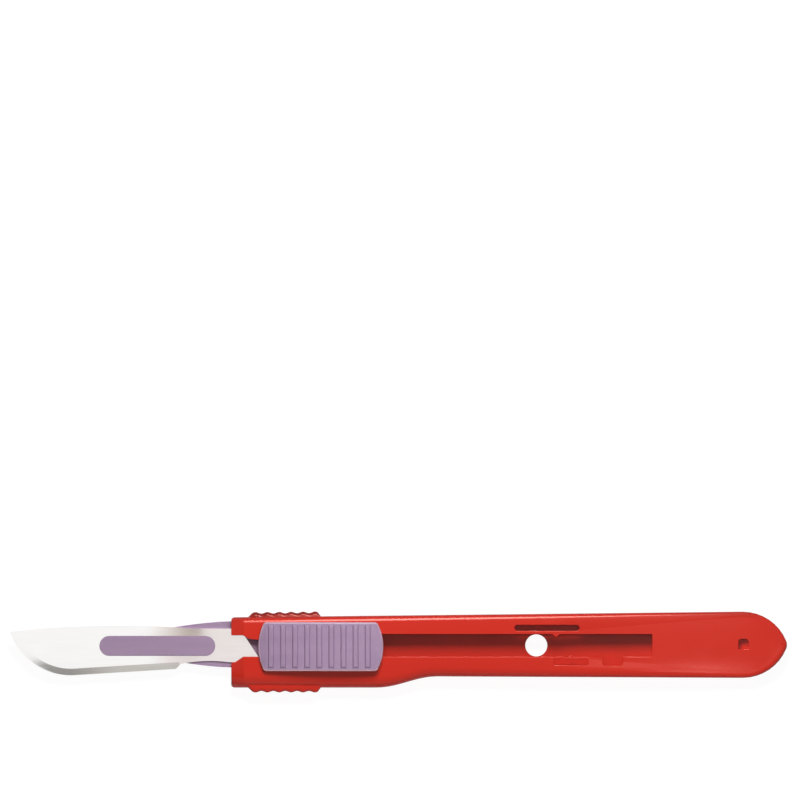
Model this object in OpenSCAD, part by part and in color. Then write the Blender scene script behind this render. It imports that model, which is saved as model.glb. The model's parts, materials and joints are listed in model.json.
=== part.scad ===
// Disposable surgical scalpel with a retracting blade, lying on the flat back of its handle.
// +X runs from the blade to the tail, the cutting edge faces -Y and the thumb pad is on top (+Z).
// The origin is the centre of the through hole, on the flat back of the handle.

/* [Handle] */
// Length of the handle from its mouth to the tip of its tail
handle_len = 114.6; // [108:0.2:130]
// Distance from the mouth to the centre of the through hole
hole_from_mouth = 62.9; // [58:0.1:66]
// Thickness of the handle where it is gripped
handle_h = 6.0; // [5.6:0.1:8]
// Thickness of the handle at its tail
tail_h = 4.5; // [3.5:0.1:6]
// Distance from the slide's centre line to the upper edge, at the mouth
front_up = 5.8; // [5.7:0.05:7]
// Distance from the slide's centre line to the upper edge, at the tail
tail_up = 6.95; // [6.3:0.05:8]
// Distance from the slide's centre line to the lower edge, at the belly
belly_lo = 8.7; // [8.5:0.05:10]
// Distance from the slide's centre line to the lower edge, just behind the belly
rear_lo = 6.4; // [6.3:0.05:7.5]
// Distance from the slide's centre line to the lower edge, at the tail
tail_lo = 6.7; // [6.3:0.05:8]
// Distance from the mouth to the place where the belly starts to draw in
belly_len = 30; // [28:0.5:34]
// Length over which the belly draws in
belly_run = 12.5; // [9:0.5:16]
// Radius of the two arcs that form the pointed tail
tail_r = 9.65; // [9:0.05:12]
// Radius of the tip between those arcs
tip_r = 2.2; // [1.5:0.1:3]
// Diameter of the through hole
hole_d = 4.54; // [3:0.02:4.6]
// Distance from the channel's end forward to the place where the top face starts to fall
slope_lead = 18; // [12:0.5:24]

/* [Handle edges] */
// Width of the rounding on the upper edge, at the mouth
round_up = 1.35; // [0.6:0.05:1.4]
// Width of the upper rounding at the tail
round_up_tail = 0.6; // [0.4:0.05:1]
// Width of the rounding on the lower edge, at the mouth
round_lo = 3.1; // [1:0.1:3.4]
// Width of the lower rounding at the tail
round_lo_tail = 0.8; // [0.4:0.05:1]
// Radius on the edges of the flat back
back_r = 0.5; // [0.2:0.05:0.8]
// Radius of the front corners, seen from above
nose_r = 0.6; // [0.3:0.05:1]
// Length of the slope at the nose
nose_len = 2.6; // [1:0.1:4]
// Height lost on that slope
nose_drop = 1.0; // [0.3:0.05:1.2]
// Width of the slopes that dish the top face between its two crests, where the dish begins
dish_w = 2.6; // [1:0.1:2.8]
// Width of those slopes at the tail
dish_tail_w = 0.4; // [0.2:0.05:1]
// Steepness of those slopes, in degrees
dish_slope = 5.5; // [1:0.5:8]
// Half of the length over which the dish fades in
dish_lead = 4; // [2:0.5:6]

/* [Grip ribs] */
// Number of ribs on each edge
rib_count = 6; // [3:1:8]
// Distance from one rib to the next
rib_pitch = 2.45; // [2.2:0.05:2.8]
// Distance from the mouth to the first rib
rib_from_mouth = 5.0; // [4.8:0.1:6]
// Height of a rib above the groove beside it
rib_h = 0.32; // [0.15:0.01:0.5]
// Height of the strip that carries the ribs, above the handle's edge
strip_h = 0.7; // [0.3:0.05:1]
// Depth of the strip's top below the top face of the handle
strip_step = 1.15; // [0.9:0.05:1.6]
// Radius on the strip's top edge
strip_r = 0.75; // [0.3:0.05:0.9]

/* [Slide way] */
// Thickness of the handle's floor
floor_t = 1.3; // [1:0.05:1.5]
// Thickness of the lower side wall
wall_t = 1.0; // [0.8:0.05:1.1]
// Thickness of the upper side wall at the mouth
wall_up = 0.7; // [0.6:0.05:0.9]
// Length of the open channel from the mouth to its square end
channel_len = 86.8; // [84:0.1:90]
// Width of the channel
channel_w = 4.64; // [4.6:0.02:5]
// Distance from the mouth to the shoulder that stops the slide
stop_from_mouth = 6.24; // [5.6:0.02:6.6]
// Distance from the centre line to the upper lip, in front of the shoulder
lip_up = 1.15; // [0.9:0.05:1.3]
// Distance from the centre line to the upper lip, at the mouth
mouth_up = 2.08; // [1.6:0.02:2.3]
// Distance from the centre line to the lower lip, at the mouth
mouth_lo = 3.5; // [2.8:0.05:3.8]
// Length of the upper lip's straight front
lip_len = 2.4; // [1:0.1:2.8]
// Length of the slope behind it
lip_slope_len = 2.9; // [1.5:0.1:3]
// Length of the lower lip's short front
lip_lo_len = 0.75; // [0.3:0.05:1]
// Length of the slope behind it
lip_lo_slope_len = 1.75; // [1:0.05:2.5]

/* [Sprung beams and windows] */
// Length of the upper slot
slot_up_len = 13.4; // [10:0.1:14]
// Distance from the hole's centre back to the front end of the upper slot
slot_up_lead = 4.5; // [3:0.1:5]
// Width of the upper slot
slot_up_w = 1.2; // [0.8:0.05:1.3]
// Thickness of the upper sprung beam
beam_up = 0.7; // [0.5:0.05:0.9]
// Distance from the hole's centre to the upper bump
bump_up_x = 4.06; // [3.6:0.02:5]
// Height of the upper bump
bump_up_h = 0.64; // [0.3:0.02:0.64]
// Length of the lower slot
slot_lo_len = 7.2; // [5:0.1:8]
// Distance from the hole's centre to the front end of the lower slot
slot_lo_x = 3.5; // [2:0.1:4]
// Width of the lower slot
slot_lo_w = 1.24; // [0.8:0.02:1.3]
// Thickness of the lower sprung beam
beam_lo = 0.5; // [0.45:0.05:0.7]
// Distance from the hole's centre to the lower bump
bump_lo_x = 7.26; // [6.9:0.02:8]
// Height of the lower bump
bump_lo_h = 0.48; // [0.2:0.02:0.5]
// Length of the square notch in the lower channel edge
notch_len = 4.1; // [3:0.1:4.5]
// Depth of that notch
notch_w = 1.85; // [1:0.05:2]
// Distance from the hole's centre to the front of the notch
notch_x = 13.75; // [12.5:0.05:15]
// Radius in the corners of the lower slot
slot_corner_r = 0.3; // [0.1:0.05:0.4]
// Radius in the corners of the notch
notch_corner_r = 0.45; // [0.1:0.05:0.8]
// Side of the small dimple in the tail
dimple_w = 2.1; // [1:0.1:2.6]
// Depth of that dimple
dimple_depth = 1.8; // [0.3:0.05:2.5]
// Distance from the tail's tip to the centre of the dimple
dimple_from_tip = 8.95; // [7:0.05:10]
// Distance of the dimple above the centre line
dimple_y = 0.27; // [-1:0.01:1]

/* [Blade carrier] */
// Thickness of the flat tongue
tongue_t = 1.9; // [1.6:0.05:2]
// Distance that the tongue reaches in front of the blade's slot
tongue_lead = 2.4; // [1:0.1:3]
// Width of the tongue under the blade
tongue_front_w = 6.4; // [5.6:0.1:6.8]
// Thickness left at the front end of the tongue
tongue_tip_t = 1.1; // [0.8:0.05:1.4]
// Length over which the tongue draws in, on its upper edge
tongue_taper_up = 15; // [12:0.5:18]
// Length over which the tongue draws in, on its lower edge
tongue_taper_lo = 12; // [10:0.5:18]
// Length of the lugs at the front of the neck
lug_len = 2.9; // [1.5:0.1:3]
// Height of the ledge that backs the blade's butt, above the blade's seat
ledge_h = 0.45; // [0.2:0.05:0.5]
// Length of that ledge behind the butt
ledge_len = 4; // [2:0.1:6]
// Length of the thumb pad
pad_len = 25.8; // [24:0.1:26]
// Width of the thumb pad
pad_w = 10.08; // [9:0.02:10.6]
// Distance of the pad's centre line below the slide's centre line
pad_shift = 0.26; // [0:0.02:0.4]
// Overhang of the pad in front of the stop lug
pad_lead = 0.75; // [0.2:0.05:1.2]
// Thickness of the pad at its hump, under the bars
pad_t = 2.4; // [2.2:0.05:3.2]
// Thickness of the pad at its front end
pad_front_t = 0.9; // [0.8:0.05:1.4]
// Thickness of the pad at its rear end
pad_rear_t = 1.75; // [1.2:0.05:2]
// Distance from the pad's front end to its hump
pad_hump_x = 17.6; // [14:0.1:19]
// Bulge of the pad's front end, seen from above
pad_front_bulge = 1.2; // [0.6:0.05:1.6]
// Bulge of the pad's rear end, seen from above
pad_rear_bulge = 1.35; // [0.6:0.05:1.6]
// Radius on the pad's top edge
pad_r = 0.4; // [0.2:0.05:0.6]
// Distance from the pad's front end to the middle of its first cross bar
bar_lead = 2.64; // [2.5:0.02:4]
// Distance from one cross bar of the pad to the next
bar_pitch = 2.49; // [2.2:0.01:2.8]
// Width of a cross bar at its foot
bar_w = 1.17; // [0.8:0.01:1.4]
// Height of the cross bars
bar_h = 0.3; // [0.1:0.02:0.4]
// Width of each sloping side of a bar
bar_side = 0.2; // [0.05:0.01:0.3]
// Length of the slope at each end of a bar
bar_end = 0.35; // [0.1:0.05:0.6]
// Plain border between the end of a bar and the side of the pad
bar_border = 0.6; // [0.5:0.05:1]

/* [Blade] */
// Overall length of the blade
blade_len = 51.95; // [51:0.05:53]
// Thickness of the blade
blade_t = 0.4; // [0.3:0.02:0.5]
// Radius of the round belly of the cutting edge
edge_r = 13.4; // [13.3:0.01:13.6]
// Distance from the tip back to the centre of that radius
edge_x = 12.6; // [12.2:0.05:12.9]
// Slope of the straight part of the cutting edge, in degrees
edge_slope = 3.54; // [2.5:0.02:4.5]
// Distance from the butt forward to the heel
heel_from_butt = 17.75; // [17:0.05:19]
// Height of the spine's crown above the tip
spine_h = 1.42; // [1.2:0.02:1.6]
// Distance from the heel forward to the spine's crown
spine_lead = 12.2; // [10:0.2:14]
// Radius of the spine
spine_r = 190; // [170:1:220]
// Height of the neck's top above the tip
neck_up = 0.78; // [0.6:0.02:0.9]
// Width of the blade's neck
blade_neck_w = 6.66; // [6.2:0.02:6.8]
// Length of the step behind the heel
heel_step = 1.1; // [0.6:0.1:1.6]
// Distance from that step to the middle of the hollow under the neck
hollow_lead = 6; // [4:0.5:7]
// Radius of the hollow under the neck
neck_r = 30; // [24:1:40]
// Slant of the butt, in degrees from square
butt_slant = 33.3; // [25:0.1:38]
// Depth of the butt's lower corner below the waist of the neck
foot_drop = 0.25; // [0.1:0.05:0.4]
// Width of the ground bevel
bevel_w = 1.35; // [0.6:0.05:1.6]
// Thickness left at the cutting edge
edge_t = 0.03; // [0.02:0.01:0.06]
// Width of the honed facet at the cutting edge
hone_w = 0.22; // [0.1:0.02:0.4]
// Angle of that facet to the blade's flat, in degrees
hone_angle = 17; // [12:0.5:22]
// Distance from the butt forward to the rear end of the slot
slot_from_butt = 9.62; // [9:0.02:11]
// Length of the slot
slot_len = 23.88; // [22:0.02:25]
// Width of the slot
slot_w = 4.12; // [3.6:0.02:4.3]
// Share of the neck's width that lies below the middle of the slot
slot_share = 0.485; // [0.45:0.005:0.52]
// Distance of the middle of the slot below the slide's centre line
slot_drop = 0.1; // [0:0.02:0.3]
// Height that the carrier's boss stands above the blade
boss_proud = 0.22; // [0.05:0.01:0.25]

/* [Clearances] */
// Gap between the tongue and the cavity, above and below
gap_z = 0.15; // [0.1:0.01:0.2]
// Gap between the slide and the sides of its way
gap_y = 0.12; // [0.08:0.01:0.16]
// Gap between the tongue and the lower wall, which leaves room for the blade's heel
gap_lo = 0.86; // [0.3:0.02:1.2]
// Gap left at each end of the travel
gap_end = 0.08; // [0.04:0.01:0.2]
// Gap between the boss and the blade's slot
gap_boss = 0.04; // [0.02:0.01:0.08]

/* [Hidden] */
$fn = 72;
eps = 0.01;
// Depth that one part of a moulding sinks into the next
sink = 0.3;
red = [0.80, 0.15, 0.13];
lilac = [0.60, 0.50, 0.62];
steel = [0.88, 0.87, 0.85];

// Places along X, all measured from the through hole
mouth_x = -hole_from_mouth;
tip_x = mouth_x + handle_len;
channel_end_x = mouth_x + channel_len;
stop_x = mouth_x + stop_from_mouth;
belly_x = mouth_x + belly_len;
rear_x = belly_x + belly_run;

// The tail: each side is an arc, and a small arc joins the two at the tip
tail_mid = (tail_up - tail_lo) / 2;
tail_half = (tail_up + tail_lo) / 2;
tail_drop = tail_r - tail_half;
tip_angle = asin(tail_drop / (tail_r - tip_r));
tail_x = tip_x - tip_r - (tail_r - tip_r) * cos(tip_angle);

// Heights in the handle and its cavity
seat_z = floor_t + gap_z + tongue_t;
cavity_top = seat_z + blade_t + boss_proud + gap_z;
cavity_h = cavity_top - floor_t;
slope_x = channel_end_x - slope_lead;

// Sides of the cavity and the channel
cavity_up = front_up - wall_up;
tongue_up = cavity_up - gap_y;
tongue_lo = rear_lo - wall_t - gap_lo;
channel_side = channel_w / 2;
neck_w = channel_w - bump_up_h - bump_lo_h - 2 * gap_y;
neck_y = (bump_lo_h - bump_up_h) / 2;

// Places on the carrier at rest, with the blade out
neck_x = stop_x + gap_end;
pad_x = neck_x - pad_lead;
pad_end_x = pad_x + pad_len;
neck_end_x = pad_end_x - pad_lead;
pad_z = handle_h + gap_z;

// Places on the blade, from its tip. Its butt ends at the front face of the neck.
blade_x = neck_x - blade_len;
slot_x = blade_len - slot_from_butt - slot_len;
heel_x = blade_len - heel_from_butt;
spine_x = heel_x - spine_lead;
tongue_x = blade_x + slot_x - tongue_lead;
tongue_reach = mouth_x - tongue_x;
neck_lo = neck_up - blade_neck_w;
foot_y = neck_lo - foot_drop;
slot_y = mix(foot_y, neck_up, slot_share);
blade_y = -slot_y - slot_drop;
function butt_x(y) = blade_len - (y - foot_y) * tan(butt_slant);
edge_y = sqrt(edge_r * edge_r - edge_x * edge_x);

function mix(a, b, t) = a + (b - a) * t;
function clamp01(t) = max(0, min(1, t));
// Share of the way from the mouth to the tail
function along(x) = clamp01((x - mouth_x) / (tail_x - mouth_x));
// Half of a cosine wave from 0 to 1
function ease(t) = (1 - cos(180 * clamp01(t))) / 2;

// The handle's plan outline in front of the tail
function corner_in(x) = let (d = min(x - mouth_x, nose_r) - nose_r)
    nose_r - sqrt(nose_r * nose_r - d * d);
function side_up(x) = mix(front_up, tail_up, along(x));
function side_lo(x) = x < rear_x
    ? mix(belly_lo, rear_lo, ease((x - belly_x) / belly_run))
    : mix(rear_lo, tail_lo, (x - rear_x) / (tail_x - rear_x));

// Height of the top face
function top_z(x) = handle_h
    - nose_drop * (1 - clamp01((x - mouth_x) / nose_len))
    - (handle_h - tail_h) * clamp01((x - slope_x) / (tip_x - slope_x));

// Share of the dish at a station, and the width of the slopes on both sides of it
function dish_share(x) = ease((x - slope_x + dish_lead) / (2 * dish_lead));
function dish_width(x) = mix(dish_w, dish_tail_w, clamp01((x - slope_x) / (tail_x - slope_x)));

// Edge profile at a station: pairs of inset and height, from the flat back up round an edge that is w
// wide to the crest, and down the slope of the dish
arc_steps = 6;
function edge_profile(x, w) = let (
        z = top_z(x),
        rise = min(0.9 * w, z - back_r - 0.4),
        dish = dish_width(x))
    concat(
        [for (a = [0:45:90]) [back_r * (1 - sin(a)), back_r * (1 - cos(a))]],
        [for (i = [0:arc_steps]) let (a = 90 * i / arc_steps)
            [w * (1 - cos(a)), z - rise * (1 - sin(a))]],
        [[w + dish, z - dish * dish_share(x) * tan(dish_slope)]]);

// Points of an edge profile set along the normal of the outline at p
function rim(p, angle, profile) =
    [for (q = profile) [p.x - q[0] * cos(angle), p.y - q[0] * sin(angle), q[1]]];
function turned(list) = [for (i = [len(list) - 1:-1:0]) list[i]];
function width_up(x) = mix(round_up, round_up_tail, along(x) * along(x));
function width_lo(x) = mix(round_lo, round_lo_tail, along(x));
function section(up, lo, angle) = concat(
    rim(up, angle, edge_profile(up.x, width_up(up.x))),
    turned(rim(lo, -angle, edge_profile(lo.x, width_lo(lo.x)))));

// Stations along the straight part, then round the tail's arc and its tip
nose_steps = [0, 0.1, 0.35, 1];
body_stations = concat(
    [for (t = nose_steps) mouth_x + nose_r * t],
    [mouth_x + nose_len, mouth_x + 8, mouth_x + 20],
    [for (i = [0:10]) belly_x + belly_run * i / 10],
    [for (i = [1:3]) mix(rear_x, slope_x - dish_lead, i / 3)],
    [for (i = [1:4]) slope_x + dish_lead * (i / 2 - 1)],
    [for (i = [1:3]) mix(slope_x + dish_lead, tail_x, i / 4)]);
tail_angles = [for (i = [0:8]) mix(90, tip_angle, i / 8)];
tip_angles = [for (i = [1:4]) mix(tip_angle, 4, i / 4)];
function tail_point(a, s) = [tail_x + tail_r * cos(a), tail_mid + s * (tail_r * sin(a) - tail_drop)];
function tip_point(a, s) = [tip_x - tip_r * (1 - cos(a)), tail_mid + s * tip_r * sin(a)];
handle_sections = concat(
    [for (x = body_stations)
        section([x, side_up(x) - corner_in(x)], [x, corner_in(x) - side_lo(x)], 90)],
    [for (a = tail_angles) section(tail_point(a, 1), tail_point(a, -1), a)],
    [for (a = tip_angles) section(tip_point(a, 1), tip_point(a, -1), a)]);

// A solid through rings of points. A flat end is closed by a fan of triangles. A curved end is closed
// by a strip between the ring's two halves, one of which runs up the +Y side and one down the -Y side.
module loft(rings, front_flat = false, back_flat = false) {
    n = len(rings[0]);
    last = (len(rings) - 1) * n;
    fan = [for (k = [1:n - 2]) [0, k, k + 1]];
    strip = [for (k = [0:n / 2 - 2])
        each [[k, k + 1, n - 2 - k], [k, n - 2 - k, n - 1 - k]]];
    sides = [for (i = [0:len(rings) - 2], k = [0:n - 1])
        let (a = i * n + k, b = i * n + (k + 1) % n, c = b + n, d = a + n)
        each [[a, d, c], [a, c, b]]];
    front = front_flat ? fan : strip;
    back = [for (f = back_flat ? fan : strip) [last + f[2], last + f[1], last + f[0]]];
    polyhedron(points = [for (r = rings) each r], faces = concat(sides, front, back));
}

// A strip of grip ribs along one edge of the handle: side is 1 for the upper edge, -1 for the lower
rib_steps = 8;
strip_x = mouth_x + rib_from_mouth - rib_pitch * 0.62;
strip_end_x = mouth_x + rib_from_mouth + rib_pitch * (rib_count - 1 + 0.5);
function edge_at(x, side) = side > 0 ? side_up(x) : side_lo(x);
function wave(x) = let (t = (x - mouth_x - rib_from_mouth) / rib_pitch)
    strip_h + rib_h * (1 + cos(360 * t)) / 2;
function strip_ring(x, side, out) = let (
        y = edge_at(x, side) + out,
        in = edge_at(x, side) - strip_r - 0.3,
        z = handle_h - strip_step,
        half = concat(
            [[in, back_r], [y - back_r, back_r], [y, 2 * back_r]],
            [for (a = [0:30:90]) [y - strip_r * (1 - cos(a)), z - strip_r * (1 - sin(a))]],
            [[in, z]]))
    side > 0
        ? [for (q = half) [x, q[0], q[1]]]
        : [for (q = turned(half)) [x, -q[0], q[1]]];
function strip_rings(side) = let (first = -0.25, last = rib_count - 1 + 0.25) concat(
    [strip_ring(strip_x, side, 0.02)],
    [for (i = [0:rib_steps * (last - first)])
        let (x = mouth_x + rib_from_mouth + rib_pitch * (first + i / rib_steps))
        strip_ring(x, side, wave(x))],
    [strip_ring(strip_end_x, side, 0.02)]);

module grip_strip(side) {
    loft(strip_rings(side), true, true);
}

// Plan of the cavity, which follows the belly at one wall's thickness
module cavity_plan() {
    belly = [for (i = [0:6]) let (x = belly_x + belly_run * i / 6) [x, wall_t - side_lo(x)]];
    polygon(concat(
        [[mouth_x - 1, wall_t - belly_lo]],
        belly,
        [[channel_end_x, wall_t - rear_lo], [channel_end_x, cavity_up], [mouth_x - 1, cavity_up]]));
}

// Plan of the open channel with its funnel mouth, its shoulder and the bumps on the sprung beams
bump_up_half = bump_up_h * 1.3;
bump_lo_half = bump_lo_h * 1.3;
module channel_plan() {
    s = channel_side;
    polygon([
        [mouth_x - 1, mouth_up],
        [mouth_x + lip_len, mouth_up],
        [mouth_x + lip_len + lip_slope_len * 0.45, mix(mouth_up, lip_up, 0.78)],
        [mouth_x + lip_len + lip_slope_len, lip_up],
        [stop_x, lip_up],
        [stop_x, s],
        [bump_up_x - bump_up_half, s],
        [bump_up_x, s - bump_up_h],
        [bump_up_x + bump_up_half, s],
        [channel_end_x, s],
        [channel_end_x, -s],
        [bump_lo_x + bump_lo_half, -s],
        [bump_lo_x, bump_lo_h - s],
        [bump_lo_x - bump_lo_half, -s],
        [mouth_x + lip_lo_len + lip_lo_slope_len, -s],
        [mouth_x + lip_lo_len, -mouth_lo],
        [mouth_x - 1, -mouth_lo]]);
}

// A flat slot with rounded ends or corners, from its front end at x, between two heights across
module round_slot(x, y, length, width, r) {
    translate([x + r, y])
        square([length - 2 * r, width]);
    translate([x, y + r])
        square([length, width - 2 * r]);
    for (cx = [x + r, x + length - r], cy = [y + r, y + width - r])
        translate([cx, cy])
            circle(r);
}

module stadium(x, y, length, width) {
    translate([x + width / 2, y - width / 2])
        square([length - width, width]);
    for (cx = [x + width / 2, x + length - width / 2])
        translate([cx, y])
            circle(width / 2);
}

module windows_plan() {
    channel_plan();
    stadium(-slot_up_lead, channel_side + beam_up + slot_up_w / 2, slot_up_len, slot_up_w);
    round_slot(slot_lo_x, -channel_side - beam_lo - slot_lo_w, slot_lo_len, slot_lo_w, slot_corner_r);
    round_slot(notch_x, -channel_side - notch_w, notch_len, notch_w + 1, notch_corner_r);
}

module dimple_plan() {
    half = dimple_w / 2;
    translate([tip_x - dimple_from_tip, dimple_y]) {
        round_slot(-half, -half, dimple_w, dimple_w, half * 0.6);
        translate([-half, -half])
            square([dimple_w, half]);
    }
}

module handle() {
    color(red)
    difference() {
        union() {
            loft(handle_sections, true);
            grip_strip(1);
            grip_strip(-1);
        }
        translate([0, 0, floor_t])
            linear_extrude(cavity_h)
                cavity_plan();
        translate([0, 0, cavity_top - 1])
            linear_extrude(handle_h)
                windows_plan();
        translate([0, 0, -1])
            cylinder(d = hole_d, h = floor_t + 2);
        translate([0, 0, top_z(tip_x - dimple_from_tip) - dimple_depth])
            linear_extrude(handle_h)
                dimple_plan();
    }
}

// Plan of the pad: both ends bulge, and small radii join them to the long sides
pad_half = pad_w / 2;
pad_corner = 0.9;
function bulge_r(b) = (pad_half * pad_half + b * b) / (2 * b);
function pad_top(x) = let (h = pad_x + pad_hump_x)
    x < h
    ? pad_t - (pad_t - pad_front_t) * pow((h - x) / pad_hump_x, 2)
    : pad_t - (pad_t - pad_rear_t) * pow((x - h) / (pad_len - pad_hump_x), 2);
function pad_slope(x) = let (h = pad_x + pad_hump_x)
    x < h
    ? atan(2 * (pad_t - pad_front_t) * (h - x) / pow(pad_hump_x, 2))
    : atan(2 * (pad_t - pad_rear_t) * (h - x) / pow(pad_len - pad_hump_x, 2));
function pad_profile(x) = let (t = pad_top(x)) concat(
    [[0.2, 0], [0, 0.2]],
    [for (a = [0:18:90]) [pad_r * (1 - cos(a)), t - pad_r * (1 - sin(a))]]);
function pad_section(x, y, angle) = let (p = [for (q = pad_profile(x)) [q[0], q[1] + pad_z]])
    concat(
        rim([x, y - pad_shift], angle, p),
        turned(rim([x, -y - pad_shift], -angle, p)));
// Stations round one end, from near its middle to the side: d is 1 at the front and -1 at the rear
function pad_end_stations(x, bulge, d) = let (
        r = bulge_r(bulge),
        c = pad_corner,
        reach = r - c,
        rise = pad_half - c,
        corner_angle = asin(rise / reach),
        cx = x + d * r)
    concat(
        [for (i = [0:5]) let (a = mix(3, corner_angle, i / 5))
            [cx - d * r * cos(a), r * sin(a), 90 + d * (90 - a)]],
        [for (i = [1:4]) let (a = mix(corner_angle, 90, i / 4))
            [cx - d * (reach * cos(corner_angle) + c * cos(a)), rise + c * sin(a), 90 + d * (90 - a)]]);
pad_front_stations = pad_end_stations(pad_x, pad_front_bulge, 1);
pad_rear_stations = turned(pad_end_stations(pad_end_x, pad_rear_bulge, -1));
// The middles of the cross bars, where the pad has a station too
bar_last = floor((pad_len - pad_rear_bulge - bar_w / 2 - bar_lead) / bar_pitch);
bar_middles = [for (i = [0:bar_last]) pad_x + bar_lead + i * bar_pitch];
pad_mid_stations = [for (x = bar_middles) [x, pad_half, 90]];

// Profile of a bar, which is flat on top between two slopes and sinks into the pad
module bar_profile(half, slope) {
    polygon([
        [-half, -sink],
        [-half, 0],
        [slope - half, bar_h],
        [half - slope, bar_h],
        [half, 0],
        [half, -sink]]);
}

// One bar along Y, as its profile across cut by its profile along
module cross_bar() {
    intersection() {
        rotate([90, 0, 0])
            linear_extrude(pad_w, center = true)
                bar_profile(bar_w / 2, bar_side);
        rotate([90, 0, 90])
            linear_extrude(2 * bar_w, center = true)
                bar_profile(pad_half - bar_border, bar_end);
    }
}

module thumb_pad() {
    stations = concat(pad_front_stations, pad_mid_stations, pad_rear_stations);
    loft([for (s = stations) pad_section(s[0], s[1], s[2])]);
    for (x = bar_middles)
        translate([x, -pad_shift, pad_z + pad_top(x)])
            rotate([0, -pad_slope(x), 0])
                cross_bar();
}

// Plan of the tongue: full width in the cavity, drawn in under the blade, with a round front end
module tongue_plan() {
    w = tongue_front_w / 2;
    r = w * 0.7;
    taper = [for (i = [0:6]) i / 6];
    polygon(concat(
        [[tongue_x, w - r], [tongue_x + r, w]],
        [for (t = turned(taper)) [mouth_x - t * tongue_taper_up, mix(tongue_up, w, pow(t, 1.6))]],
        [[neck_end_x, tongue_up], [neck_end_x, -tongue_lo]],
        [for (t = taper) [mouth_x - t * tongue_taper_lo, -mix(tongue_lo, w, pow(t, 1.6))]],
        [[tongue_x + r, -w], [tongue_x, r - w]]));
    for (y = [r - w, w - r])
        translate([tongue_x + r, y])
            circle(r);
}

module tongue() {
    z = floor_t + gap_z;
    fall = tongue_t - tongue_tip_t;
    run = tongue_reach - 2;
    difference() {
        translate([0, 0, z])
            linear_extrude(tongue_t)
                tongue_plan();
        // The underside rises towards the front end
        translate([0, 10, 0])
            rotate([90, 0, 0])
                linear_extrude(20)
                    polygon([[mouth_x - 2, z - eps], [tongue_x - 1, z + fall * (run + 1) / run],
                        [tongue_x - 1, z - 1], [mouth_x - 2, z - 1]]);
    }
}

// The neck runs between the bumps, and its front lugs fill the channel and meet the shoulder
module neck_plan() {
    side = channel_side - gap_y;
    translate([neck_x, neck_y - neck_w / 2])
        square([neck_end_x - neck_x, neck_w]);
    translate([neck_x, -side])
        square([lug_len, 2 * side]);
}

// The ledge stands close behind the blade's slanted butt
module ledge_plan() {
    back = butt_x(foot_y) + ledge_len;
    translate([blade_x + gap_boss, blade_y])
        polygon([[butt_x(neck_up), neck_up], [butt_x(foot_y), foot_y], [back, foot_y], [back, neck_up]]);
}

module blade_carrier() {
    color(lilac)
    union() {
        tongue();
        translate([0, 0, seat_z - eps])
            linear_extrude(blade_t + boss_proud + eps)
                stadium(blade_x + slot_x + gap_boss, blade_y + slot_y, slot_len - 2 * gap_boss,
                    slot_w - 2 * gap_boss);
        translate([0, 0, seat_z - eps])
            linear_extrude(ledge_h + eps)
                ledge_plan();
        translate([0, 0, seat_z - eps])
            linear_extrude(pad_z - seat_z + sink)
                neck_plan();
        thumb_pad();
    }
}

// Points of the blade's plan, with its tip near the origin and its cutting edge towards -Y
edge_mid = [edge_x, edge_y];
edge_touch = edge_mid + edge_r * [sin(edge_slope), -cos(edge_slope)];
heel = [heel_x, edge_touch.y + (heel_x - edge_touch.x) * tan(edge_slope)];
spine_mid = [spine_x, spine_h - spine_r];
hollow_mid = [heel_x + heel_step + hollow_lead, neck_lo - neck_r];

// The tip, where the arc of the belly meets the arc of the spine
spine_gap = norm(spine_mid - edge_mid);
toward = (spine_mid - edge_mid) / spine_gap;
reach = (edge_r * edge_r - spine_r * spine_r + spine_gap * spine_gap) / (2 * spine_gap);
tip = edge_mid + reach * toward + sqrt(edge_r * edge_r - reach * reach) * [toward.y, -toward.x];

// Points along an arc between two angles, and the angle of a point on it
function arc(mid, r, from, to, steps) =
    [for (i = [0:steps]) let (a = mix(from, to, i / steps)) mid + r * [cos(a), sin(a)]];
function angle_at(mid, p) = atan2(p.y - mid.y, p.x - mid.x);
function angle_up(mid, r, y) = asin((y - mid.y) / r);

// The belly runs from the tip to the straight edge, a short step behind the heel leads to the hollow
// of the neck, and the butt is slanted
module blade_plan() {
    difference() {
        polygon(concat(
            arc(edge_mid, edge_r, 360 + angle_at(edge_mid, tip), 270 + edge_slope, 48),
            [heel],
            arc(hollow_mid, neck_r, 90 + asin(hollow_lead / neck_r), angle_up(hollow_mid, neck_r, foot_y), 10),
            [[butt_x(foot_y), foot_y], [butt_x(neck_up), neck_up]],
            arc(spine_mid, spine_r, angle_up(spine_mid, spine_r, neck_up), angle_at(spine_mid, tip), 24)));
        stadium(slot_x, slot_y, slot_len, slot_w);
    }
}

// Section of what is ground and honed away: distance outwards from the edge, height above mid-thickness
module grind_section() {
    hone_z = edge_t / 2 + hone_w * tan(hone_angle);
    fall = (blade_t / 2 - hone_z) / (bevel_w - hone_w);
    over = 0.1;
    polygon([
        [-bevel_w - over / fall, blade_t / 2 + over],
        [-hone_w, hone_z],
        [1, edge_t / 2 - tan(hone_angle)],
        [1, blade_t / 2 + over]]);
}

// The grinding sweeps round the belly and then runs straight to the heel
module grind() {
    start = 360 + angle_at(edge_mid, tip) - 12;
    union() {
        translate(edge_mid)
            rotate_extrude(angle = 270 + edge_slope - start, start = start, $fn = 360)
                translate([edge_r, 0])
                    grind_section();
        translate(edge_touch)
            rotate([0, 0, edge_slope])
                rotate([90, 0, 90])
                    linear_extrude((heel_x + 0.8 - edge_touch.x) / cos(edge_slope))
                        mirror([1, 0])
                            grind_section();
    }
}

module blade() {
    color(steel)
    translate([blade_x, blade_y, seat_z + blade_t / 2])
    difference() {
        linear_extrude(blade_t, center = true)
            blade_plan();
        grind();
        mirror([0, 0, 1])
            grind();
    }
}

handle();
blade_carrier();
blade();
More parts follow.
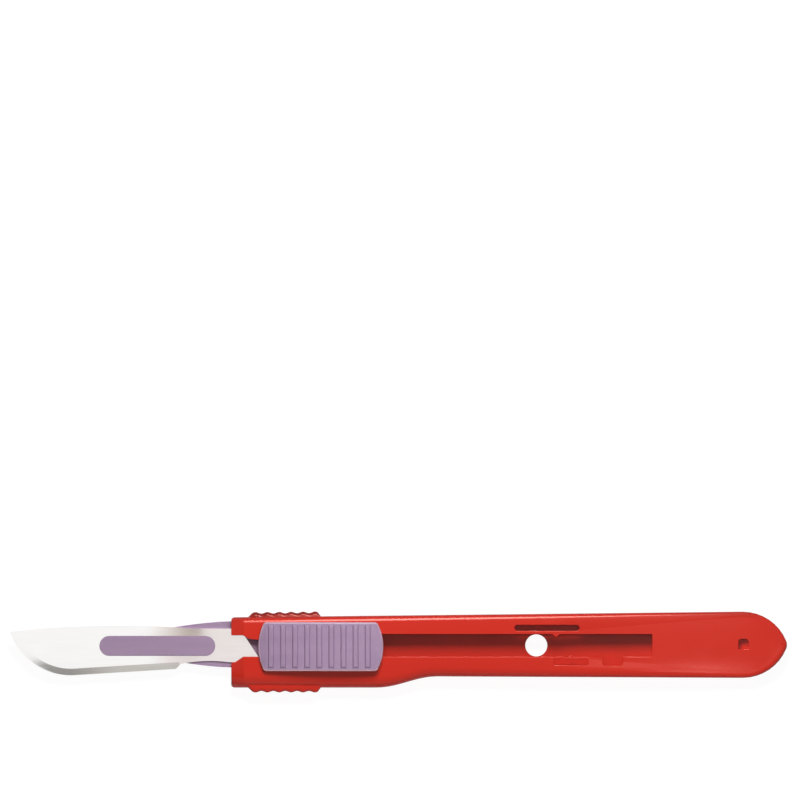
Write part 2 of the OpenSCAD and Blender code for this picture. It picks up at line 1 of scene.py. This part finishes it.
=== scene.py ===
# %% [markdown]
# # A disposable scalpel with a retracting blade
# Three pieces slide on each other: a red moulded handle, a lilac moulded carrier with the thumb pad,
# and a stamped steel blade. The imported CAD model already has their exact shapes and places, so this
# lesson eases their edges, gives each one its finish, and lights them as a product photograph.

import json
import math

import bmesh
import bpy
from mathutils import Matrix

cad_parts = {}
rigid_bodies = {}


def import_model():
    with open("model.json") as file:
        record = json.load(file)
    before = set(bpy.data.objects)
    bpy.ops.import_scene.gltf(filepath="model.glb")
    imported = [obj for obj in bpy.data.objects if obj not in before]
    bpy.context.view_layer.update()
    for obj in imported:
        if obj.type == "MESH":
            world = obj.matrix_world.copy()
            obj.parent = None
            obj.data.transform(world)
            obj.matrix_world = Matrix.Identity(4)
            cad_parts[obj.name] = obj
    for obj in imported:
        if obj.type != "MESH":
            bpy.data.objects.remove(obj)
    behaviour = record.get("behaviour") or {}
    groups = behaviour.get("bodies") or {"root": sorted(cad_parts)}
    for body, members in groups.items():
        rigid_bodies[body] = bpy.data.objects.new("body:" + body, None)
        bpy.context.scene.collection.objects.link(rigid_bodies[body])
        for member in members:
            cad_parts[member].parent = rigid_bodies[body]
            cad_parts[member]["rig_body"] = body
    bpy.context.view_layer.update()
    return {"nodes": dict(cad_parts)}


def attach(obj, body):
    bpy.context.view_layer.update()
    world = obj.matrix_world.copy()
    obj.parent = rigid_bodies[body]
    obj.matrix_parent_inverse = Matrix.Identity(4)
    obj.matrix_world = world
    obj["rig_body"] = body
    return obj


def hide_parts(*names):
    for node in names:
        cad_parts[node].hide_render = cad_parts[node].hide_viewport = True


MM = 0.001
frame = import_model()
nodes = frame["nodes"]
print("pieces:", sorted(nodes))

# %% [markdown]
# ## Eased edges
# A moulded edge is never quite sharp. The tool's corner leaves a radius of about a tenth of a
# millimetre, and that radius is what catches the light. The CAD model has sharp corners there. They
# could be softened in the shader alone, but then the exported meshes would stay sharp. So each
# moulding is copied, its loose triangles are merged, and the corners of the copy get a real bevel.

# %% Which edges are corners
SHARP = 32


def corner_edges(bm, wanted):
    """The edges between faces that turn sharply, where the wanted function agrees."""
    found = []
    for edge in bm.edges:
        middle = (edge.verts[0].co + edge.verts[1].co) / 2 / MM
        if edge.is_manifold and math.degrees(edge.calc_face_angle()) > SHARP and wanted(middle):
            found.append(edge)
    return found


# %% [markdown]
# ## Smooth faces, sharp borders
# The bevel strips and the large faces both shade smoothly, but a normal that is shared between the
# two would bend the reflections on the flat side. Weighted normals could repair that. It is simpler
# to mark the border of every bevel strip as sharp, so each side keeps its own normals.

# %% A copy with eased edges
def eased_copy(node, name, radius, wanted, crease):
    """A copy of a CAD node whose wanted corners have a small radius, and whose creases stay crisp."""
    source = nodes[node]
    bm = bmesh.new()
    bm.from_mesh(source.data)
    bmesh.ops.remove_doubles(bm, verts=bm.verts, dist=0.002 * MM)
    bmesh.ops.dissolve_limit(
        bm, angle_limit=math.radians(0.3), verts=bm.verts, edges=bm.edges)
    corners = corner_edges(bm, wanted)
    result = bmesh.ops.bevel(
        bm, geom=corners, offset=radius, offset_type="OFFSET", affect="EDGES",
        segments=3, profile=0.5, material=-1, clamp_overlap=False, miter_outer="ARC")
    eased = set(result["faces"])
    for face in bm.faces:
        face.smooth = True
    for edge in bm.edges:
        if edge.is_manifold:
            one, other = edge.link_faces
            same = (one in eased) == (other in eased)
            middle = (edge.verts[0].co + edge.verts[1].co) / 2 / MM
            turn = math.degrees(edge.calc_face_angle(0))
            edge.smooth = same and turn < SHARP and not crease(middle, turn)
    mesh = bpy.data.meshes.new(name)
    bm.to_mesh(mesh)
    print(name, "has", len(corners), "eased corners and", len(bm.faces), "faces")
    bm.free()
    piece = bpy.data.objects.new(name, mesh)
    bpy.context.scene.collection.objects.link(piece)
    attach(piece, source["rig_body"])
    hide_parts(node)
    return piece


# %% [markdown]
# ## The handle
# The handle is one moulding with an open channel, two slots, a notch and a dimple. Its outer
# roundings are already in the CAD model, so only the rims of those cut-outs and the corners of the
# front face are eased. The grip ribs are left as they are, because they are round all over.

# %% The handle's rims
def on_top_of_handle(p):
    """The rims of the channel, windows and dimple, and the corners of the front face."""
    beside_ribs = p.x < -44 and abs(p.y) > 4.9
    return (p.z > 4.1 and not beside_ribs) or (p.x < -62.5 and p.z > 0.3)


def fold_line(p, turn):
    """The crease at the end of the sloping nose, and the two along the dished top of the tail."""
    nose = abs(p.x + 60.3) < 0.05 and p.z > 4.3
    dish = p.x > -6 and p.z > 3 and 4.5 < turn < 6.5
    return nose or dish


handle = eased_copy("handle", "handle_moulding", 0.10 * MM, on_top_of_handle, fold_line)

# %% [markdown]
# ## The carrier
# The tongue, the boss that fills the blade's slot, the neck and the thumb pad are one moulding. Its
# corners are smaller than the handle's, because the cross bars of the pad are under half a millimetre
# wide on top. Every corner is eased, also those that are only seen when the slide is open.

# %% The carrier's edges
def anywhere(p):
    return True


def nowhere(p, turn):
    return False


carrier = eased_copy("blade_carrier", "carrier_moulding", 0.05 * MM, anywhere, nowhere)

# %% [markdown]
# ## The painted highlight on the pad's rim
# The rounded rim of the pad is painted paler than the rest: a painted highlight, strongest along the
# lower side, which faces away from the key light. The rim is the rounded edge round the top, which
# the mesh already has. Its faces get a share from 0 to 1 in an attribute of their own, and the finish
# reads it. A painted texture would need a UV map.

# %% Mark the rim for its painted highlight
PAD_FOOT = 6.4 * MM
mesh = carrier.data
rim = mesh.attributes.new("rim", "FLOAT", "FACE")
for face, share in zip(mesh.polygons, rim.data):
    outward = abs(face.normal.y) > 0.25 or abs(face.center.x + 44.4 * MM) > 11.2 * MM
    rounded = 0.15 < face.normal.z < 0.97
    at_side = abs(face.center.y + 0.26 * MM) > 4.55 * MM
    at_end = abs(face.center.x + 44.4 * MM) > 11.6 * MM
    if face.center.z > PAD_FOOT and rounded and outward and (at_side or at_end):
        # Painted highlight: the full share on the lower side, which faces away from the key, and 0.4
        # on the other rounded faces.
        share.value = 1.0 if at_side and face.center.y < 0 else 0.4
print("faces on the rim:", sum(item.value > 0 for item in rim.data))

# %% [markdown]
# ## The blade
# The blade is stamped, ground and honed, so its edges are crisp and its faces are flat. The CAD node
# has the bevel and the honed facet, and it keeps its own mesh.

# %% The blade
blade = nodes["blade"]
print("blade faces:", len(blade.data.polygons))

# %% [markdown]
# ## Helpers for the finishes
# All three finishes are shader nodes on Object coordinates, in metres, so a pattern has its real size
# and stays in place when the slide moves. A few small helpers keep the node trees short.

# %% A new finish, and noise for it
def new_finish(name):
    """A material with only its Principled shader and its output."""
    material = bpy.data.materials.new(name)
    material.use_nodes = True
    tree = material.node_tree
    return material, tree, tree.nodes["Principled BSDF"]


def noise(tree, scale, detail=2.0, stretch=(1, 1, 1), rough=0.5):
    """Noise on Object coordinates: scale counts the spots in a metre."""
    place = tree.nodes.new("ShaderNodeTexCoord")
    mapping = tree.nodes.new("ShaderNodeMapping")
    mapping.inputs["Scale"].default_value = stretch
    texture = tree.nodes.new("ShaderNodeTexNoise")
    texture.inputs["Scale"].default_value = scale
    texture.inputs["Detail"].default_value = detail
    texture.inputs["Roughness"].default_value = rough
    tree.links.new(place.outputs["Object"], mapping.inputs["Vector"])
    tree.links.new(mapping.outputs["Vector"], texture.inputs["Vector"])
    return texture.outputs["Fac"]


# %% Colours, numbers and bumps from a pattern
def ramp(tree, factor, low, high, start=0.3, end=0.7):
    """A colour that runs from low to high as the factor goes from start to end."""
    node = tree.nodes.new("ShaderNodeValToRGB")
    node.color_ramp.elements[0].position = start
    node.color_ramp.elements[0].color = (*low, 1)
    node.color_ramp.elements[1].position = end
    node.color_ramp.elements[1].color = (*high, 1)
    tree.links.new(factor, node.inputs["Fac"])
    return node.outputs["Color"]


def spread(tree, factor, low, high):
    """A number that runs from low to high with the factor."""
    node = tree.nodes.new("ShaderNodeMapRange")
    node.inputs["From Min"].default_value = 0.3
    node.inputs["From Max"].default_value = 0.7
    node.inputs["To Min"].default_value = low
    node.inputs["To Max"].default_value = high
    tree.links.new(factor, node.inputs["Value"])
    return node.outputs["Result"]


def bump(tree, height, distance, strength):
    """A bump of that height in metres."""
    node = tree.nodes.new("ShaderNodeBump")
    node.inputs["Distance"].default_value = distance
    node.inputs["Strength"].default_value = strength
    tree.links.new(height, node.inputs["Height"])
    return node.outputs["Normal"]


# %% [markdown]
# ## Red gloss plastic
# The handle is polystyrene, coloured through and moulded in a polished tool, so it is glossy with a
# skin that is not quite even. A plain red would look like paint. Here large faint clouds shift the
# colour, smaller ones shift the gloss, and a bump of a few thousandths of a millimetre breaks up the
# reflections. The highlight on such a red is warm, so the specular tint is warm too.

# %% The handle's finish
def red_plastic():
    material, tree, shader = new_finish("red_gloss_plastic")
    cloud = noise(tree, 35, 3)
    tree.links.new(
        ramp(tree, cloud, (0.575, 0.0165, 0.0060), (0.615, 0.0195, 0.0080)),
        shader.inputs["Base Color"])
    tree.links.new(spread(tree, noise(tree, 240, 3), 0.17, 0.22), shader.inputs["Roughness"])
    tree.links.new(bump(tree, noise(tree, 2600, 2), 0.003 * MM, 0.5), shader.inputs["Normal"])
    shader.inputs["IOR"].default_value = 1.5
    shader.inputs["Specular IOR Level"].default_value = 0.5
    shader.inputs["Specular Tint"].default_value = (1.0, 0.5, 0.45, 1)
    return material


# %% [markdown]
# ## Lilac satin plastic
# The carrier is a softer plastic with a satin skin. Some light enters it and comes out again close
# by, which softens the lines between the cross bars and lightens the thin edges of the pad. That is
# what subsurface scattering does, over less than half a millimetre here. Faint flow lines run along
# the piece, as the plastic ran into the tool.

# %% The carrier's finish
def lilac_plastic():
    material, tree, shader = new_finish("lilac_satin_plastic")
    flow = noise(tree, 420, 2, stretch=(0.08, 1, 1))
    # Painted highlight on the pad's rim: the faces marked in the attribute are mixed towards a paler
    # lilac.
    rim_light_node = tree.nodes.new("ShaderNodeAttribute")
    rim_light_node.attribute_name = "rim"
    paler = tree.nodes.new("ShaderNodeMix")
    paler.data_type = "RGBA"
    paler.inputs["B"].default_value = (0.72, 0.48, 0.54, 1)
    tree.links.new(rim_light_node.outputs["Fac"], paler.inputs["Factor"])
    tree.links.new(ramp(tree, flow, (0.31, 0.20, 0.325), (0.35, 0.23, 0.36)), paler.inputs["A"])
    tree.links.new(paler.outputs["Result"], shader.inputs["Base Color"])
    tree.links.new(spread(tree, noise(tree, 900, 3), 0.40, 0.52), shader.inputs["Roughness"])
    tree.links.new(bump(tree, noise(tree, 3000, 2), 0.004 * MM, 0.5), shader.inputs["Normal"])
    shader.inputs["IOR"].default_value = 1.49
    shader.inputs["Subsurface Weight"].default_value = 0.4
    shader.inputs["Subsurface Radius"].default_value = (1.0, 0.8, 1.0)
    shader.inputs["Subsurface Scale"].default_value = 0.35 * MM
    return material


# %% [markdown]
# ## Blade steel
# The blade is carbon steel, ground along its length and then polished. A mirror would show every
# corner of the studio. The fine grain along X spreads a reflection a little, more across the blade
# than along it, so noise that is drawn out along X sets the colour, the roughness and a slight bump.

# %% The blade's finish
def blade_steel():
    material, tree, shader = new_finish("blade_steel")
    shader.inputs["Metallic"].default_value = 1.0
    grain = noise(tree, 4000, 3, stretch=(0.03, 1, 1))
    tree.links.new(
        ramp(tree, grain, (0.90, 0.885, 0.875), (0.93, 0.92, 0.91)),
        shader.inputs["Base Color"])
    tree.links.new(spread(tree, grain, 0.12, 0.18), shader.inputs["Roughness"])
    tree.links.new(bump(tree, grain, 0.0008 * MM, 0.4), shader.inputs["Normal"])
    return material


# %% The finishes on their pieces
def finish_with(piece, material):
    piece.data.materials.clear()
    piece.data.materials.append(material)


finish_with(handle, red_plastic())
finish_with(carrier, lilac_plastic())
finish_with(blade, blade_steel())

# %% [markdown]
# ## The camera
# The photograph looks straight down, from so far away that nothing is foreshortened. So the camera
# is orthographic, and its scale is the width of the photograph on the table.

# %% Camera
PHOTO_WIDTH = 164.96 * MM
camera_data = bpy.data.cameras.new("camera")
camera_data.type = "ORTHO"
camera_data.ortho_scale = PHOTO_WIDTH
camera = bpy.data.objects.new("camera", camera_data)
camera.location = (-28.1 * MM, 50.6 * MM, 0.5)
bpy.context.scene.collection.objects.link(camera)
bpy.context.scene.camera = camera

# %% [markdown]
# ## The key light
# One softbox stands behind the upper edge, 35 degrees from overhead. It draws the thin highlight on
# the upper rounding and lays the soft shadows towards the cutting edge. It stands close, so the light
# falls off towards the nose and the tail, as it does in the photograph. A sun lamp would give neither
# the soft shadows nor the fall-off. A weak one stands low on the other side, so that the lower
# rounding doesn't go dark. It is kept out of the reflections, where it would draw a second line.

# %% Key and fill softboxes
def softbox(name, angle, distance, size, radiance, middle):
    """A rectangular lamp that leans by an angle from overhead towards +Y."""
    lamp = bpy.data.lights.new(name, "AREA")
    lamp.shape = "RECTANGLE"
    lamp.size, lamp.size_y = size
    lamp.energy = radiance * math.pi * size[0] * size[1]
    holder = bpy.data.objects.new(name, lamp)
    lean = math.radians(angle)
    holder.location = (
        middle[0], middle[1] + distance * math.sin(lean), middle[2] + distance * math.cos(lean))
    holder.rotation_euler = (-lean, 0, 0)
    holder.visible_camera = False
    bpy.context.scene.collection.objects.link(holder)
    return holder


softbox("key_softbox", 35, 0.27, (0.12, 0.10), 19.8, (-0.018, 0, 0))
fill = softbox("fill_softbox", -72, 0.35, (0.30, 0.10), 3.4, (-0.01, 0, 0))
fill.visible_glossy = False

# %% [markdown]
# ## What the blade mirrors
# Polished steel has hardly a colour of its own: it shows what stands over it. A photographer holds
# cards over a blade to give it form. Three cards do that here. A warm one over the back half of the
# blade is darkest where the lens would be, a paler one lies over the other half, and a grey one on
# the side of the cutting edge darkens the ground bevel. Only glossy rays see them, so they cast no
# shadow.

# %% A card that only glossy rays see
def card(name, low, high, height):
    """A level card between two corners in millimetres, seen only by glossy rays."""
    mesh = bpy.data.meshes.new(name)
    bm = bmesh.new()
    bmesh.ops.create_grid(bm, x_segments=1, y_segments=1, size=0.5 * MM)
    bmesh.ops.scale(bm, verts=bm.verts, vec=(high[0] - low[0], high[1] - low[1], 1))
    bmesh.ops.translate(
        bm, verts=bm.verts,
        vec=((high[0] + low[0]) / 2 * MM, (high[1] + low[1]) / 2 * MM, height * MM))
    bm.to_mesh(mesh)
    bm.free()
    piece = bpy.data.objects.new(name, mesh)
    bpy.context.scene.collection.objects.link(piece)
    for ray in ("camera", "diffuse", "transmission", "volume_scatter", "shadow"):
        setattr(piece, "visible_" + ray, False)
    return piece


# %% A card's brightness along X
def graded(name, stops, start, end, strength=1.0):
    """Light that follows colour stops along X, from start to end in millimetres."""
    material, tree, shader = new_finish(name)
    tree.nodes.remove(shader)
    place = tree.nodes.new("ShaderNodeTexCoord")
    split = tree.nodes.new("ShaderNodeSeparateXYZ")
    along = tree.nodes.new("ShaderNodeMapRange")
    along.inputs["From Min"].default_value = start * MM
    along.inputs["From Max"].default_value = end * MM
    colour = tree.nodes.new("ShaderNodeValToRGB")
    elements = colour.color_ramp.elements
    while len(elements) < len(stops):
        elements.new(0.5)
    for element, (x, rgb) in zip(elements, stops):
        element.position = (x - start) / (end - start)
        element.color = (*rgb, 1)
    light = tree.nodes.new("ShaderNodeEmission")
    light.inputs["Strength"].default_value = strength
    tree.links.new(place.outputs["Object"], split.inputs["Vector"])
    tree.links.new(split.outputs["X"], along.inputs["Value"])
    tree.links.new(along.outputs["Result"], colour.inputs["Fac"])
    tree.links.new(colour.outputs["Color"], light.inputs["Color"])
    tree.links.new(light.outputs["Emission"], tree.nodes["Material Output"].inputs["Surface"])
    return material


# %% The three cards
lens_card = card("lens_card", (-118, -1.0), (-52, 20), 25)
finish_with(lens_card, graded("lens_card_shade", [
    (-80, (1.0, 1.0, 1.0)), (-76, (0.80, 0.74, 0.70)), (-72, (0.50, 0.43, 0.39)),
    (-69.4, (0.46, 0.40, 0.36)), (-68.4, (0.84, 0.79, 0.77)), (-60, (0.86, 0.81, 0.80))], -118, -52))
pale_card = card("pale_card", (-118, -7.0), (-52, -1.0), 25)
finish_with(pale_card, graded("pale_card_shade", [
    (-80, (1.0, 1.0, 1.0)), (-75, (0.84, 0.77, 0.77)), (-71, (0.80, 0.73, 0.73)),
    (-68.4, (0.86, 0.80, 0.80)), (-60, (0.86, 0.81, 0.80))], -118, -52))
flag_card = card("flag_card", (-112, -24), (-66, -7), 25)
finish_with(flag_card, graded("flag_card_shade", [
    (-112, (0.80, 0.80, 0.79)), (-107, (0.60, 0.59, 0.58)), (-103, (0.30, 0.29, 0.28)),
    (-96, (0.30, 0.29, 0.28)), (-86, (0.55, 0.53, 0.50))], -112, -66))

# %% [markdown]
# ## What the handle mirrors
# Three bright strips hang above the handle, and again only glossy rays see them. A slope mirrors what
# stands at twice its own tilt. So the strip 29 degrees from overhead draws the long thin line on the
# upper rounding, and the one near 8 degrees lights the gentle slope below the slot. The third hangs
# low, straight over the lower edge of the tail. A near lamp is mirrored with a clear border, so it
# carries the light band on where the slope runs out.

# %% The three strips
def strip(name, stops, angle, half, strength):
    """A strip along X, seen from the handle at an angle from overhead towards +Y."""
    height = 100
    low = height * math.tan(math.radians(angle - half))
    high = height * math.tan(math.radians(angle + half))
    start, end = stops[0][0], stops[-1][0]
    piece = card(name, (start, low), (end, high), height)
    greys = [(x, (level, level, level)) for x, level in stops]
    finish_with(piece, graded(name + "_light", greys, start, end, strength))
    return piece


strip("edge_strip", [(-68, 0.7), (-35, 1.0), (-10, 1.0), (30, 0.65)], 29, 5, 15.5)
strip("tail_strip", [(4, 0.5), (18, 0.6), (30, 1.0), (52, 1.0)], 8.3, 3.5, 3.6)
band_card = card("band_card", (20, -5.7), (47, -4.1), 22)
finish_with(band_card, graded("band_card_light", [
    (20, (1.0, 1.0, 1.0)), (26, (3.2, 3.2, 3.2)), (33, (6.0, 6.0, 6.0)), (39, (5.0, 5.0, 5.0)),
    (47, (2.0, 2.0, 2.0))], 20, 47))

# %% [markdown]
# ## A flag for the upper edge
# The key light strikes the upper edge and its ribs almost square on, so they would come out brighter
# than the top face. A photographer would hang a flag there, a dark strip that shades only that edge.
# It hangs just outside the light's way to the top face, so it follows the edge, which lies lower and
# further out towards the tail. No ray but the lamp's own meets it.

# %% The flag
flag = card("edge_flag", (-61.5, 9.0), (52, 11.6), 10)
for corner in flag.data.vertices:
    if corner.co.x > 0:
        corner.co.y += (1.9 if corner.co.y < 10 * MM else 1.5) * MM
flag.visible_glossy = False
flag.visible_shadow = True
cloth, flag_tree, flag_shader = new_finish("flag_cloth")
flag_shader.inputs["Base Color"].default_value = (0.02, 0.02, 0.02, 1)
finish_with(flag, cloth)

# %% [markdown]
# ## The world and the floor
# The photograph has a white ground and very soft shadows. Light Path lets the world be plain white to
# the camera and in reflections, while it fills the shadows at a lower level. The floor is white
# paper that keeps a fifth of its own shading, which is where the soft shadow shows.

# %% World
world = bpy.data.worlds.new("studio")
bpy.context.scene.world = world
world.use_nodes = True
sky = world.node_tree
background = sky.nodes["Background"]
background.inputs["Color"].default_value = (1, 1, 1, 1)
paths = sky.nodes.new("ShaderNodeLightPath")


def either(tree, a, b):
    node = tree.nodes.new("ShaderNodeMath")
    node.operation = "MAXIMUM"
    tree.links.new(a, node.inputs[0])
    tree.links.new(b, node.inputs[1])
    return node.outputs["Value"]


seen = either(sky, either(sky, paths.outputs["Is Camera Ray"], paths.outputs["Is Glossy Ray"]),
              paths.outputs["Is Transmission Ray"])
level = sky.nodes.new("ShaderNodeMapRange")
level.inputs["To Min"].default_value = 0.13
level.inputs["To Max"].default_value = 1.0
sky.links.new(seen, level.inputs["Value"])
sky.links.new(level.outputs["Result"], background.inputs["Strength"])

# %% Floor
floor_mesh = bpy.data.meshes.new("floor")
bm = bmesh.new()
bmesh.ops.create_grid(bm, x_segments=1, y_segments=1, size=2.0)
bmesh.ops.translate(bm, verts=bm.verts, vec=(0, 0, -0.02 * MM))
bm.to_mesh(floor_mesh)
bm.free()
floor = bpy.data.objects.new("floor", floor_mesh)
bpy.context.scene.collection.objects.link(floor)

# %% The floor's paper
paper, tree, shader = new_finish("floor_paper")
shader.inputs["Base Color"].default_value = (0.65, 0.65, 0.65, 1)
shader.inputs["Roughness"].default_value = 0.9
shader.inputs["Specular IOR Level"].default_value = 0.1
white = tree.nodes.new("ShaderNodeEmission")
white.inputs["Strength"].default_value = 1.18
seen_floor = tree.nodes.new("ShaderNodeMixShader")
camera_share = tree.nodes.new("ShaderNodeMath")
camera_share.operation = "MULTIPLY"
camera_share.inputs[1].default_value = 0.8
floor_paths = tree.nodes.new("ShaderNodeLightPath")
tree.links.new(floor_paths.outputs["Is Camera Ray"], camera_share.inputs[0])
tree.links.new(camera_share.outputs["Value"], seen_floor.inputs["Fac"])
tree.links.new(shader.outputs["BSDF"], seen_floor.inputs[1])
tree.links.new(white.outputs["Emission"], seen_floor.inputs[2])
tree.links.new(seen_floor.outputs["Shader"], tree.nodes["Material Output"].inputs["Surface"])
finish_with(floor, paper)

# %% View transform
bpy.context.scene.view_settings.view_transform = "Standard"
